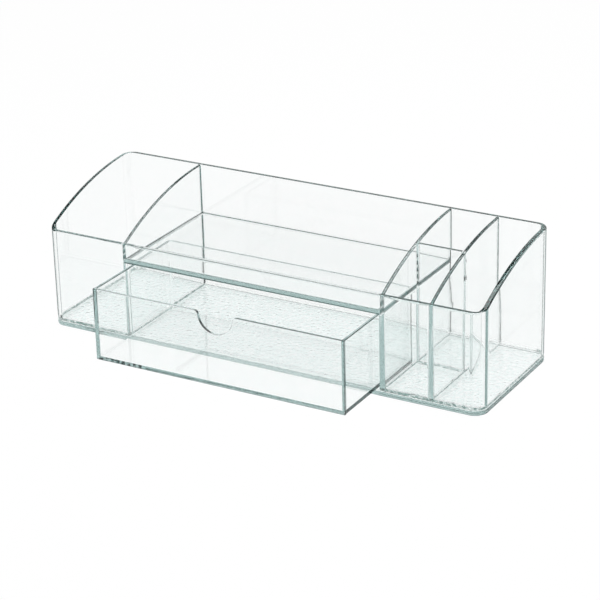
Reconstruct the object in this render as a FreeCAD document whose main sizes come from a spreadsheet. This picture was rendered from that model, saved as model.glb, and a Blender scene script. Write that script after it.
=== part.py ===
"""Clear plastic vanity organiser: a casing of bonded clear panels with a left bin, a tray over a
drawer bay, three brush bins on the right, and one open-topped drawer that slides out at the front.

Millimetres. +Z is up, +X runs along the length to the right, and -Y faces the user. The origin is
the centre of the face that the base plate rests on.
"""
import FreeCAD, Part
import math
import os
import Sketcher

os.makedirs("parts", exist_ok=True)
doc = FreeCAD.newDocument("vanity_organiser")


# ------------------------------------------------------------------ driving dimensions

DIMENSIONS = {
    # casing
    "length": 318.6,            # outside, along X
    "depth": 99.5,              # outside, along Y
    "back_height": 91.8,        # resting face to the top of the back wall
    "front_height": 68.2,       # resting face to the top of the front wall
    "wall": 3,                  # thickness of the wall that runs round the casing
    "divider_wall": 2.4,        # thickness of the panels that part the bins
    "corner_radius": 9,         # outside radius of the four upright corners
    "inner_corner_radius": 5.5, # inside radius of the same corners
    "base_thickness": 3.2,      # rippled plate under the walls
    "top_arc_radius": 205,      # curve of the end walls and dividers, from front top to back top
    # what the casing is divided into, as clear widths
    "left_bin_width": 56.1,
    "brush_bin_width": 31,      # the two small bins between the middle and right dividers
    "right_bin_width": 31.5,
    "rear_bin_depth": 46.4,     # clear depth of the small bin behind the cross divider
    "bay_height": 51.8,         # base plate to the underside of the shelf
    "shelf_thickness": 2.2,
    # drawer
    "drawer_wall": 2.2,         # sheet thickness of the drawer's panels
    "drawer_floor_thickness": 2.2,
    "drawer_corner_radius": 3.5,    # outside radius of the two rear upright corners
    "notch_radius": 12.5,       # half-round finger notch in the drawer front
    "notch_depth": 14,          # top edge of the front to the lowest point of the notch
    "notch_blend_radius": 3,    # where the notch runs out into the top edge
    # running clearances of the drawer in its bay
    "side_clearance": 2.4,      # each side
    "floor_clearance": 0.3,     # drawer to base plate
    "head_clearance": 2,        # drawer to shelf
    "rear_clearance": 6.2,      # drawer to back wall, when the drawer is shut
    "drawer_open": 40.7,        # how far the drawer stands out of the casing
}

sheet = doc.addObject("Spreadsheet::Sheet", "sizes")
for row, (alias, number) in enumerate(DIMENSIONS.items(), start=1):
    sheet.set(f"A{row}", alias)
    sheet.set(f"B{row}", str(number))
    sheet.setAlias(f"B{row}", alias)
doc.recompute()


class Size:
    """A length that carries the sheet expression it comes from, so that sums stay parametric."""

    def __init__(self, value, text):
        self.value = float(value)
        self.text = text

    def _with(self, other, sign, value):
        return Size(value, f"({self.text} {sign} {as_size(other).text})")

    def __add__(self, other):
        return self._with(other, "+", self.value + as_size(other).value)

    def __sub__(self, other):
        return self._with(other, "-", self.value - as_size(other).value)

    def __mul__(self, other):
        return self._with(other, "*", self.value * as_size(other).value)

    def __truediv__(self, other):
        return self._with(other, "/", self.value / as_size(other).value)

    def __neg__(self):
        return Size(-self.value, f"(0 - {self.text})")

    def root(self):
        return Size(math.sqrt(self.value), f"sqrt({self.text})")


def as_size(number):
    return number if isinstance(number, Size) else Size(number, repr(number))


def cell(alias):
    """The driving dimension with this name, bound to its cell."""
    return Size(DIMENSIONS[alias], f"sizes.{alias}")


# ------------------------------------------------------------------ derived dimensions

WALL = cell("wall")
DIVIDER = cell("divider_wall")
HALF_LENGTH = cell("length") / 2
HALF_DEPTH = cell("depth") / 2
INNER_LENGTH = HALF_LENGTH - WALL           # centre to the inner face of an end wall
INNER_DEPTH = HALF_DEPTH - WALL             # centre to the inner face of the front or back wall
BASE_TOP = cell("base_thickness")
BACK_TOP = cell("back_height")
FRONT_TOP = cell("front_height")

# the dividers stand between the bins, and the drawer bay takes the length that is left
LEFT_DIVIDER = cell("left_bin_width") - INNER_LENGTH + DIVIDER / 2
RIGHT_DIVIDER = INNER_LENGTH - cell("right_bin_width") - DIVIDER / 2
MIDDLE_DIVIDER = RIGHT_DIVIDER - cell("brush_bin_width") - DIVIDER
BAY_LEFT = LEFT_DIVIDER + DIVIDER / 2
BAY_RIGHT = MIDDLE_DIVIDER - DIVIDER / 2
CROSS_DIVIDER = INNER_DEPTH - cell("rear_bin_depth") - DIVIDER / 2
SHELF_UNDERSIDE = BASE_TOP + cell("bay_height")

# the drawer, drawn shut with its front flush with the casing's front
DRAWER_WALL = cell("drawer_wall")
DRAWER_LEFT = BAY_LEFT + cell("side_clearance")
DRAWER_RIGHT = BAY_RIGHT - cell("side_clearance")
DRAWER_MIDDLE = (DRAWER_LEFT + DRAWER_RIGHT) / 2
DRAWER_FRONT = -HALF_DEPTH
DRAWER_FRONT_BACK = DRAWER_FRONT + DRAWER_WALL      # rear face of the front panel
DRAWER_BACK = INNER_DEPTH - cell("rear_clearance")
DRAWER_BOTTOM = BASE_TOP + cell("floor_clearance")
DRAWER_TOP = SHELF_UNDERSIDE - cell("head_clearance")
DRAWER_BEND = cell("drawer_corner_radius")
DRAWER_INNER_BEND = DRAWER_BEND - DRAWER_WALL

ZERO = Size(0, "0")
OVERCUT = Size(2, "2")      # how far a cutting profile runs past the material


# ------------------------------------------------------------------ drawing helpers

PLANES = {"XY": "XY_Plane", "XZ": "XZ_Plane", "YZ": "YZ_Plane"}


def new_body(label):
    body = doc.addObject("PartDesign::Body", label)
    body.Label = label
    return body


def new_sketch(body, name, plane, offset=ZERO):
    """An empty sketch on one of the body's own origin planes, moved along the plane's normal."""
    support = next(f for f in body.Origin.OriginFeatures if f.Role == PLANES[plane])
    sketch = body.newObject("Sketcher::SketchObject", f"{body.Label}_{name}")
    sketch.AttachmentSupport = [(support, "")]
    sketch.MapMode = "FlatFace"
    sketch.setExpression("AttachmentOffset.Base.z", offset.text)
    return sketch


def bind(sketch, kind, size, *where):
    """Add a dimension to the sketch and tie it to its expression."""
    index = sketch.addConstraint(Sketcher.Constraint(kind, *where, size.value))
    sketch.setExpression(f"Constraints[{index}]", size.text)


def vector(point):
    return FreeCAD.Vector(point[0].value, point[1].value, 0)


def arc_between(start, end, centre, turn):
    """An arc about centre, and which of its ends (1 or 2) is the start; turn is 1 anticlockwise."""
    first, last = (start, end) if turn > 0 else (end, start)
    circle = Part.Circle(centre, FreeCAD.Vector(0, 0, 1), (start - centre).Length)
    angles = [math.atan2(p.y - centre.y, p.x - centre.x) for p in (first, last)]
    return Part.ArcOfCircle(circle, *angles), (1 if turn > 0 else 2)


def draw(sketch, start, *moves):
    """Draw a closed outline from start. A move is a point, which is reached by a line, or
    (point, centre, radius, turn), which is reached by an arc. Every corner is dimensioned from
    the sketch's origin, and every arc by its radius."""
    here = start
    ends = []
    for move in moves:
        is_arc = len(move) == 4
        there = move[0] if is_arc else move
        if is_arc:
            _, centre, radius, turn = move
            curve, first = arc_between(vector(here), vector(there), centre, turn)
            index = sketch.addGeometry(curve)
            bind(sketch, "Radius", radius, index)
        else:
            index = sketch.addGeometry(Part.LineSegment(vector(here), vector(there)))
            first = 1
        ends.append((index, first, here))
        here = there
    for number, (index, first, point) in enumerate(ends):
        before, before_first, _ = ends[number - 1]
        sketch.addConstraint(Sketcher.Constraint("Coincident", before, 3 - before_first, index, first))
        bind(sketch, "DistanceX", point[0], -1, 1, index, first)
        bind(sketch, "DistanceY", point[1], -1, 1, index, first)


def rectangle(sketch, left, right, low, high):
    draw(sketch, (left, low), (right, low), (right, high), (left, high), (left, low))


def corner(x, y, x_side, y_side, radius):
    """A quarter arc for draw(), anticlockwise round a convex corner of a rectangle at x, y."""
    centre = FreeCAD.Vector(x.value - x_side * radius.value, y.value - y_side * radius.value, 0)
    on_side = (x, y - radius * y_side)
    on_end = (x - radius * x_side, y)
    first, last = (on_side, on_end) if x_side * y_side > 0 else (on_end, on_side)
    return first, (last, centre, radius, 1)


def rounded_rectangle(sketch, half_x, half_y, radius):
    """A rectangle about the sketch's origin with four rounded corners."""
    south_east = corner(half_x, -half_y, 1, -1, radius)
    north_east = corner(half_x, half_y, 1, 1, radius)
    north_west = corner(-half_x, half_y, -1, 1, radius)
    south_west = corner(-half_x, -half_y, -1, -1, radius)
    draw(sketch, south_east[0], south_east[1], *north_east, *north_west, *south_west,
         south_east[0])


def pad(body, sketch, length, midplane=False, backwards=False):
    feature = body.newObject("PartDesign::Pad", f"{sketch.Name}_pad")
    feature.Profile = sketch
    feature.setExpression("Length", length.text)
    feature.Midplane = midplane
    feature.Reversed = backwards
    sketch.Visibility = False
    return feature


def pocket_through(body, sketch, midplane=False, backwards=False):
    """Cut the sketch right through the body, and make sure that it takes material away."""
    doc.recompute()
    before = body.Shape.Volume
    feature = body.newObject("PartDesign::Pocket", f"{sketch.Name}_pocket")
    feature.Profile = sketch
    feature.Type = "ThroughAll"
    feature.Midplane = midplane
    feature.Reversed = backwards
    sketch.Visibility = False
    doc.recompute()
    if body.Shape.Volume >= before:
        raise RuntimeError(f"{feature.Name} cuts nothing")
    return feature


def trim_to_top_line(body):
    """Cut a wall down to the organiser's side outline: level over the front wall, a convex arc up
    over the bins, and full height at the back wall."""
    front = (-INNER_DEPTH, FRONT_TOP)
    back = (INNER_DEPTH, BACK_TOP)
    chord = vector(back) - vector(front)
    radius = cell("top_arc_radius")
    sag = math.sqrt(radius.value ** 2 - (chord.Length / 2) ** 2)
    across = FreeCAD.Vector(chord.y, -chord.x, 0).normalize()
    centre = (vector(front) + vector(back)) / 2 + across * sag
    sketch = new_sketch(body, "top_line", "YZ")
    clear_front = -HALF_DEPTH - OVERCUT
    clear_top = BACK_TOP + OVERCUT
    draw(sketch, front, (back, centre, radius, -1), (INNER_DEPTH, clear_top),
         (clear_front, clear_top), (clear_front, FRONT_TOP), front)
    pocket_through(body, sketch, midplane=True)


# ------------------------------------------------------------------ casing

def make_base_plate():
    """The thick plate that everything stands on; its upper face is rippled on the real thing."""
    body = new_body("base_plate")
    plan = new_sketch(body, "plan", "XY")
    rounded_rectangle(plan, HALF_LENGTH, HALF_DEPTH, cell("corner_radius"))
    pad(body, plan, BASE_TOP)
    return body


def make_outer_shell():
    """One wall that runs round all four sides, with the drawer opening cut out of its front."""
    body = new_body("outer_shell")
    plan = new_sketch(body, "plan", "XY", BASE_TOP)
    rounded_rectangle(plan, HALF_LENGTH, HALF_DEPTH, cell("corner_radius"))
    rounded_rectangle(plan, INNER_LENGTH, INNER_DEPTH, cell("inner_corner_radius"))
    pad(body, plan, BACK_TOP - BASE_TOP)
    trim_to_top_line(body)
    opening = new_sketch(body, "drawer_opening", "XZ")
    rectangle(opening, BAY_LEFT, BAY_RIGHT, BASE_TOP - OVERCUT, SHELF_UNDERSIDE)
    pocket_through(body, opening, backwards=True)
    return body


def make_divider(label, x_centre):
    """An upright panel from the front wall to the back wall, with the same top line as the ends."""
    body = new_body(label)
    plan = new_sketch(body, "plan", "XY", BASE_TOP)
    rectangle(plan, x_centre - DIVIDER / 2, x_centre + DIVIDER / 2, -INNER_DEPTH, INNER_DEPTH)
    pad(body, plan, BACK_TOP - BASE_TOP)
    trim_to_top_line(body)
    return body


def make_cross_divider():
    """The panel that parts the rear brush bin from the front one."""
    body = new_body("cross_divider")
    plan = new_sketch(body, "plan", "XY", BASE_TOP)
    rectangle(plan, MIDDLE_DIVIDER + DIVIDER / 2, RIGHT_DIVIDER - DIVIDER / 2,
              CROSS_DIVIDER - DIVIDER / 2, CROSS_DIVIDER + DIVIDER / 2)
    pad(body, plan, BACK_TOP - BASE_TOP)
    trim_to_top_line(body)
    return body


def make_shelf():
    """Roof of the drawer bay and floor of the open tray above it."""
    body = new_body("shelf")
    plan = new_sketch(body, "plan", "XY", SHELF_UNDERSIDE)
    rectangle(plan, BAY_LEFT, BAY_RIGHT, -INNER_DEPTH, INNER_DEPTH)
    pad(body, plan, cell("shelf_thickness"))
    return body


# ------------------------------------------------------------------ drawer

def pull_out(body):
    """Slide a drawer panel from its shut place to where the open drawer stands."""
    body.setExpression("Placement.Base.y", f"0 - {cell('drawer_open').text}")
    return body


def make_drawer_front():
    """Square-cornered front panel with a half-round finger notch in its top edge."""
    body = new_body("drawer_front")
    notch = cell("notch_radius")
    blend = cell("notch_blend_radius")
    middle_z = DRAWER_TOP - cell("notch_depth") + notch     # centre of the notch
    blend_z = DRAWER_TOP - blend                            # centres of the two blends
    reach = notch + blend
    rise = blend_z - middle_z
    blend_x = (reach * reach - rise * rise).root()          # from the notch's centre line
    meet_x = blend_x * notch / reach                        # where notch and blend touch
    meet_z = middle_z + rise * notch / reach

    def blend_centre(side):
        return FreeCAD.Vector(DRAWER_MIDDLE.value + side * blend_x.value, blend_z.value, 0)

    notch_centre = FreeCAD.Vector(DRAWER_MIDDLE.value, middle_z.value, 0)
    face = new_sketch(body, "face", "XZ", -DRAWER_FRONT)
    draw(face,
         (DRAWER_LEFT, DRAWER_BOTTOM),
         (DRAWER_RIGHT, DRAWER_BOTTOM),
         (DRAWER_RIGHT, DRAWER_TOP),
         (DRAWER_MIDDLE + blend_x, DRAWER_TOP),
         ((DRAWER_MIDDLE + meet_x, meet_z), blend_centre(1), blend, 1),
         ((DRAWER_MIDDLE - meet_x, meet_z), notch_centre, notch, -1),
         ((DRAWER_MIDDLE - blend_x, DRAWER_TOP), blend_centre(-1), blend, 1),
         (DRAWER_LEFT, DRAWER_TOP),
         (DRAWER_LEFT, DRAWER_BOTTOM))
    pad(body, face, DRAWER_WALL, backwards=True)
    return pull_out(body)


def make_drawer_wall():
    """Sides and back of the drawer: one strip bent round the two rear corners."""
    body = new_body("drawer_wall")
    outer_right = corner(DRAWER_RIGHT, DRAWER_BACK, 1, 1, DRAWER_BEND)
    outer_left = corner(DRAWER_LEFT, DRAWER_BACK, -1, 1, DRAWER_BEND)
    inner_left_x = DRAWER_LEFT + DRAWER_WALL
    inner_right_x = DRAWER_RIGHT - DRAWER_WALL
    inner_back = DRAWER_BACK - DRAWER_WALL
    left_start, (left_end, left_centre, radius, _) = corner(
        inner_left_x, inner_back, -1, 1, DRAWER_INNER_BEND)
    right_start, (right_end, right_centre, _, _) = corner(
        inner_right_x, inner_back, 1, 1, DRAWER_INNER_BEND)
    plan = new_sketch(body, "plan", "XY", DRAWER_BOTTOM)
    draw(plan,
         (DRAWER_RIGHT, DRAWER_FRONT_BACK), *outer_right, *outer_left,
         (DRAWER_LEFT, DRAWER_FRONT_BACK),
         (inner_left_x, DRAWER_FRONT_BACK),
         left_end, (left_start, left_centre, radius, -1),
         right_end, (right_start, right_centre, radius, -1),
         (inner_right_x, DRAWER_FRONT_BACK),
         (DRAWER_RIGHT, DRAWER_FRONT_BACK))
    pad(body, plan, DRAWER_TOP - DRAWER_BOTTOM)
    return pull_out(body)


def make_drawer_floor():
    """Floor panel let in between the drawer's walls, flush with their lower edges."""
    body = new_body("drawer_floor")
    left = DRAWER_LEFT + DRAWER_WALL
    right = DRAWER_RIGHT - DRAWER_WALL
    back = DRAWER_BACK - DRAWER_WALL
    plan = new_sketch(body, "plan", "XY", DRAWER_BOTTOM)
    draw(plan,
         (left, DRAWER_FRONT_BACK), (right, DRAWER_FRONT_BACK),
         *corner(right, back, 1, 1, DRAWER_INNER_BEND),
         *corner(left, back, -1, 1, DRAWER_INNER_BEND),
         (left, DRAWER_FRONT_BACK))
    pad(body, plan, cell("drawer_floor_thickness"))
    return pull_out(body)


# ------------------------------------------------------------------ build, check and export

pieces = [
    make_base_plate(),
    make_outer_shell(),
    make_divider("left_divider", LEFT_DIVIDER),
    make_divider("middle_divider", MIDDLE_DIVIDER),
    make_divider("right_divider", RIGHT_DIVIDER),
    make_cross_divider(),
    make_shelf(),
    make_drawer_front(),
    make_drawer_wall(),
    make_drawer_floor(),
]
doc.recompute()

for item in doc.Objects:
    if "Invalid" in item.State or "Error" in item.State:
        raise RuntimeError(f"{item.Label} failed: {item.State}")
for piece in pieces:
    if piece.Shape.isNull() or not piece.Shape.isValid() or len(piece.Shape.Solids) != 1:
        raise RuntimeError(f"{piece.Label} isn't one valid solid")

for piece in pieces:
    piece.Shape.exportStep(f"parts/{piece.Label}.step")
    box = piece.Shape.BoundBox
    print(f"{piece.Label:16s} {piece.Shape.Volume:10.1f} mm3"
          f"  x {box.XMin:8.2f} {box.XMax:8.2f}"
          f"  y {box.YMin:8.2f} {box.YMax:8.2f}"
          f"  z {box.ZMin:7.2f} {box.ZMax:7.2f}")
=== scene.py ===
"""Looks of the clear vanity organiser: its panels in polished, faintly grey-green plastic."""

import math

import bmesh
import bpy
from mathutils import Matrix, Vector, noise


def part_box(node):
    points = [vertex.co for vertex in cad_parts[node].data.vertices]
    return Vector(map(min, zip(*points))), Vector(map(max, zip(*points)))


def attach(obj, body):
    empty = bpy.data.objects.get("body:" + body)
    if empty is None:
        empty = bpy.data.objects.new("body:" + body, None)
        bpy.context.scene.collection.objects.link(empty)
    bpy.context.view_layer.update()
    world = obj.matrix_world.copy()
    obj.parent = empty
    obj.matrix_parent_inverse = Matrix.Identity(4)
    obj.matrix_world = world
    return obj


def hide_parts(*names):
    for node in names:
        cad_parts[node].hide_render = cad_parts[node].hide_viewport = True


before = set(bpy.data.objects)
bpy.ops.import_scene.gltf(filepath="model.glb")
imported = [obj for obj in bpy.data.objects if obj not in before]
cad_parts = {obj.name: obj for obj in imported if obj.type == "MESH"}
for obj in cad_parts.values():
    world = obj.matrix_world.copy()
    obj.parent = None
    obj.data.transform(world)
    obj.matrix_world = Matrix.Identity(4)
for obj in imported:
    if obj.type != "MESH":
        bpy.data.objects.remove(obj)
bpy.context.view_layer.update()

MM = 0.001
QUARTER = math.pi / 2
SEAM = 0.02 * MM                    # cement film left between bonded panels
ROOT_FILLET = 1.0 * MM              # moulded fillet where one wall meets another
FAR = 1.0                           # a contact box's reach where only its plane matters
CONTACT_SLACK = 0.1 * MM            # how far outside a contact box a bonded face may reach
ARC_STEP = math.radians(5)          # how finely the casing's round corners are drawn,
DRAWER_STEP = math.radians(10)      # the drawer's rear corners,
FILLET_STEP = math.radians(18)      # the root fillets
ROUND_STEP = math.radians(22.5)     # and the small roundings of edges
WALL_STEP = 2 * MM                  # how finely a wall follows the arc of its top
SHARP_EDGE = math.radians(35)       # edges that turn by more than this stay sharp


# ---------------------------------------- sizes, read from the frame

def span(node, axis):
    """Lowest and highest place of a CAD node along X, Y or Z."""
    low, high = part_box(node)
    index = "XYZ".index(axis)
    return low[index], high[index]


SHELL_LEFT, SHELL_RIGHT = span("outer_shell", "X")
SHELL_FRONT, SHELL_BACK = span("outer_shell", "Y")
BASE_TOP, SHELL_TOP = span("outer_shell", "Z")
BASE_BOTTOM = span("base_plate", "Z")[0]
INNER_FRONT, INNER_BACK = span("left_divider", "Y")
BAY_LEFT, BAY_RIGHT = span("shelf", "X")
SHELF_LOW, SHELF_HIGH = span("shelf", "Z")
SHELL_WALL = INNER_FRONT - SHELL_FRONT
DRAWER_WALL = span("drawer_front", "Y")[1] - span("drawer_front", "Y")[0]
CORNER_RADIUS = 9 * MM
FRONT_TOP = 68.2 * MM
TOP_ARC_RADIUS = 205 * MM
DRAWER_CORNER_RADIUS = 3.5 * MM
NOTCH_RADIUS = 12.5 * MM
NOTCH_DEPTH = 14 * MM
NOTCH_BLEND = 3 * MM


def top_line(y):
    """Height of the side outline: level over the front wall, an arc up to the back wall."""
    if y <= INNER_FRONT:
        return FRONT_TOP
    if y >= INNER_BACK:
        return SHELL_TOP
    run, rise = INNER_BACK - INNER_FRONT, SHELL_TOP - FRONT_TOP
    chord = math.hypot(run, rise)
    sag = math.sqrt(TOP_ARC_RADIUS ** 2 - (chord / 2) ** 2)
    centre_y = (INNER_FRONT + INNER_BACK) / 2 + rise / chord * sag
    centre_z = (FRONT_TOP + SHELL_TOP) / 2 - run / chord * sag
    return centre_z + math.sqrt(TOP_ARC_RADIUS ** 2 - (y - centre_y) ** 2)


def along(x):
    """How far a place lies from the casing's left end, from 0 to 1."""
    return (x - SHELL_LEFT) / (SHELL_RIGHT - SHELL_LEFT)


def frontward(y):
    """How far a place lies from the inside of the back wall, towards the front, from 0 to 1."""
    return (INNER_BACK - y) / (INNER_BACK - INNER_FRONT)


# ---------------------------------------- outlines and meshes

def spread(start, end, step):
    """Evenly spaced numbers from start to end, both included, no further apart than step."""
    count = max(1, math.ceil(abs(end - start) / step))
    return [start + (end - start) * i / count for i in range(count + 1)]


def arc(centre, radius, start, end, step=ARC_STEP):
    """Points along an arc between two angles."""
    return [(centre[0] + radius * math.cos(a), centre[1] + radius * math.sin(a))
            for a in spread(start, end, step)]


def flare(distance, radius=ROOT_FILLET):
    """How far a root fillet widens a wall, at a distance from the wall that it meets."""
    if distance >= radius:
        return 0.0
    return radius - math.sqrt(radius ** 2 - (radius - distance) ** 2)


def fillet_places(start, end, step, end_radius=ROOT_FILLET):
    """Places along a wall from start to end, close together where its root fillets curve."""
    turns = [1 - math.cos(a) for a in spread(0, QUARTER, FILLET_STEP)]
    first = [start + ROOT_FILLET * turn for turn in turns]
    last = [end - end_radius * turn for turn in reversed(turns)]
    return first + spread(first[-1], last[0], step)[1:-1] + last


def section(levels, top, thickness, near_round, far_round, draft=None, near_foot_round=0.0):
    """A wall cut across: up its near face, over the rounded top and down its far face. Each
    point is its share of the way from the near face to the far one, and its height. Draft
    says how far both faces stand out at each level."""
    out = draft or [0.0] * len(levels)
    near_turn = arc((near_round, top - near_round), near_round, 2 * QUARTER, QUARTER, ROUND_STEP)
    far_turn = arc((thickness - far_round, top - far_round), far_round, QUARTER, 0, ROUND_STEP)
    if near_round + far_round > thickness - SEAM:
        near_turn.pop()
    rise = [(-d, z) for d, z in zip(out, levels)]
    fall = [(thickness + d, z) for d, z in zip(reversed(out), reversed(levels))]
    if near_foot_round:
        centre = (near_foot_round, levels[0] + near_foot_round)
        rise = arc(centre, near_foot_round, 3 * QUARTER, 2 * QUARTER, ROUND_STEP) + rise[1:]
    return [(x / thickness, z) for x, z in rise + near_turn + far_turn + fall]


def band(bm, first, second):
    """Faces that join two rings of corners."""
    for k in range(len(first)):
        following = (k + 1) % len(first)
        bm.faces.new((first[k], second[k], second[following], first[following]))


def loft(bm, rings):
    """Faces over a row of rings, closed at both ends."""
    for first, second in zip(rings, rings[1:]):
        band(bm, first, second)
    bm.faces.new(rings[0])
    bm.faces.new(list(reversed(rings[-1])))


def wall_strip(near, far, sections, closed=False, open_below=()):
    """A wall that stands on a plan path. near and far are its two faces, as points of the path,
    and sections says how it is cut at each. Segments in open_below have nothing under the
    second level."""
    bm = bmesh.new()
    count = len(near)
    rings = []
    for (nx, ny), (fx, fy), cut in zip(near, far, sections):
        rings.append([bm.verts.new((nx + (fx - nx) * share, ny + (fy - ny) * share, z))
                      for share, z in cut])
    size = len(rings[0])
    segments = [(i, (i + 1) % count) for i in range(count if closed else count - 1)]
    for index, (i, j) in enumerate(segments):
        lifted = slice(1, size - 1) if index in open_below else slice(None)
        band(bm, rings[i][lifted], rings[j][lifted])
        after = (index + 1) % len(segments)
        if (closed or index + 1 < len(segments)) and (index in open_below) != (after in open_below):
            ring = rings[j]
            bm.faces.new((ring[0], ring[1], ring[size - 2], ring[size - 1]))
    if not closed:
        bm.faces.new(rings[0])
        bm.faces.new(list(reversed(rings[-1])))
    loose = [v for v in bm.verts if not v.link_faces]
    bmesh.ops.delete(bm, geom=loose, context="VERTS")
    return bm


def bond(bm, *contacts):
    """Mark the faces that lie wholly inside a contact box: there two panels are cemented into
    one, and light passes without bending."""
    layer = bm.faces.layers.float.new("bonded")
    for face in bm.faces:
        for low, high in contacts:
            if all(low[k] - CONTACT_SLACK <= v.co[k] <= high[k] + CONTACT_SLACK
                   for v in face.verts for k in range(3)):
                face[layer] = 1.0


def set_painted_shade_depth(bm, amount):
    """Say how strongly each face shows the painted shade, a dark colour on rims and corners in
    place of the dark surroundings that they refract and reflect, by its middle and its outward
    normal."""
    bmesh.ops.recalc_face_normals(bm, faces=bm.faces)
    bm.normal_update()
    # the rim layer holds how deep the painted shade is on each face
    layer = bm.faces.layers.float.new("rim")
    for face in bm.faces:
        face[layer] = amount(face.calc_center_median(), face.normal)


def new_piece(name, bm, node, body, material):
    """Make the mesh an object that rides on its body, in place of its CAD node if it has one."""
    mesh = bpy.data.meshes.new(name)
    bmesh.ops.recalc_face_normals(bm, faces=bm.faces)
    bm.to_mesh(mesh)
    bm.free()
    mesh.shade_smooth()
    mesh.set_sharp_from_angle(angle=SHARP_EDGE)
    mesh.materials.append(material)
    piece = bpy.data.objects.new(name, mesh)
    bpy.context.scene.collection.objects.link(piece)
    flattener = piece.modifiers.new("flat_faces_stay_flat", "WEIGHTED_NORMAL")
    flattener.mode = "FACE_AREA"
    flattener.weight = 100
    flattener.keep_sharp = True
    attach(piece, body)
    if node:
        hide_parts(node)


# ---------------------------------------- shader building blocks

def add_sockets(group, direction, sockets):
    """Give a node group its named inputs or outputs."""
    for name, kind in sockets:
        group.interface.new_socket(name=name, in_out=direction, socket_type=kind)


def eased_range(nodes, links, value, limits):
    """Smooth 0 to 1 as the value goes from the first limit to the second."""
    ease = nodes.new("ShaderNodeMapRange")
    ease.interpolation_type = "SMOOTHSTEP"
    ease.inputs["From Min"].default_value, ease.inputs["From Max"].default_value = limits
    links.new(value, ease.inputs["Value"])
    return ease.outputs["Result"]


def join(nodes, links, operation, first, second):
    """Two values put together by the given operation."""
    node = nodes.new("ShaderNodeMath")
    node.operation = operation
    links.new(first, node.inputs[0])
    links.new(second, node.inputs[1])
    return node.outputs["Value"]


def one_less(nodes, links, value):
    """What is left of 1 when the value is taken away."""
    node = nodes.new("ShaderNodeMath")
    node.operation = "SUBTRACT"
    node.inputs[0].default_value = 1.0
    links.new(value, node.inputs[1])
    return node.outputs["Value"]


def noise_node(nodes, links, place, detail):
    """Soft random patches over a place; its Scale is still to be set."""
    texture = nodes.new("ShaderNodeTexNoise")
    texture.inputs["Detail"].default_value = detail
    links.new(place, texture.inputs["Vector"])
    return texture


def colour_mix(nodes, links, share):
    """A mix of the two colours A and B, by the share of B."""
    mix = nodes.new("ShaderNodeMix")
    mix.data_type = "RGBA"
    links.new(share, mix.inputs["Factor"])
    return mix


def shader_mix(nodes, links, share, first, second, output):
    """Feed the output with a mix of two shaders, by the share of the second."""
    mix = nodes.new("ShaderNodeMixShader")
    links.new(share, mix.inputs["Fac"])
    links.new(first, mix.inputs[1])
    links.new(second, mix.inputs[2])
    links.new(mix.outputs["Shader"], output.inputs["Surface"])


def face_value(nodes, name):
    """What the mesh stores under this name on each face."""
    attribute = nodes.new("ShaderNodeAttribute")
    attribute.attribute_name = name
    return attribute.outputs["Fac"]


# ---------------------------------------- clear plastic

WHITE = (1, 1, 1, 1)
ABSORBED = (0.16, 0.42, 0.40, 1)        # grey-green of the plastic where light runs along it
DENSITY = 10.8
INDEX = 1.50
SHADOW_TINT = (0.92, 0.925, 0.925, 1)   # light left after each face, in the plastic's shadow
PAINTED_EDGE_SHADE = (0.030, 0.062, 0.058, 1)    # painted shade: the dark colour that rims and grazing faces are turned to
PAINTED_SHADE_REACH = 0.20                        # how much sooner the painted shade sets in on a rim or a corner
PAINTED_SHADE_RANGE = (1.00, 1.14)               # from no painted shade to all of it, facing and reach together
WAVE_DETAIL = 2.0
TINT_RANGE = (0.35, 0.65)               # waves between which the tint drifts
HAZE_PATCHES = 55.0                     # per metre
HAZE_DETAIL = 4.0
HAZE_RANGE = (0.42, 0.72)               # patches between which the haze sets in


def make_moulding_marks():
    """Flow waves left by moulding, patches of handling haze and a slight drift of the tint."""
    group = bpy.data.node_groups.new("moulding_marks", "ShaderNodeTree")
    add_sockets(group, "INPUT", [("Waves per Metre", "NodeSocketFloat"),
                                 ("Wave Height", "NodeSocketFloat"),
                                 ("Haze", "NodeSocketFloat"),
                                 ("Deep Tint", "NodeSocketColor")])
    add_sockets(group, "OUTPUT", [("Height", "NodeSocketFloat"),
                                  ("Roughness", "NodeSocketFloat"),
                                  ("Tint", "NodeSocketColor")])
    nodes, links = group.nodes, group.links
    given, result = nodes.new("NodeGroupInput"), nodes.new("NodeGroupOutput")
    place = nodes.new("ShaderNodeTexCoord").outputs["Object"]

    waves = noise_node(nodes, links, place, WAVE_DETAIL)
    links.new(given.outputs["Waves per Metre"], waves.inputs["Scale"])
    height = join(nodes, links, "MULTIPLY", waves.outputs["Fac"], given.outputs["Wave Height"])
    links.new(height, result.inputs["Height"])

    patches = noise_node(nodes, links, place, HAZE_DETAIL)
    patches.inputs["Scale"].default_value = HAZE_PATCHES
    haze = eased_range(nodes, links, patches.outputs["Fac"], HAZE_RANGE)
    roughness = join(nodes, links, "MULTIPLY", haze, given.outputs["Haze"])
    links.new(roughness, result.inputs["Roughness"])

    tint = colour_mix(nodes, links, eased_range(nodes, links, waves.outputs["Fac"], TINT_RANGE))
    tint.inputs["A"].default_value = WHITE
    links.new(given.outputs["Deep Tint"], tint.inputs["B"])
    links.new(tint.outputs["Result"], result.inputs["Tint"])
    return group


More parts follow.
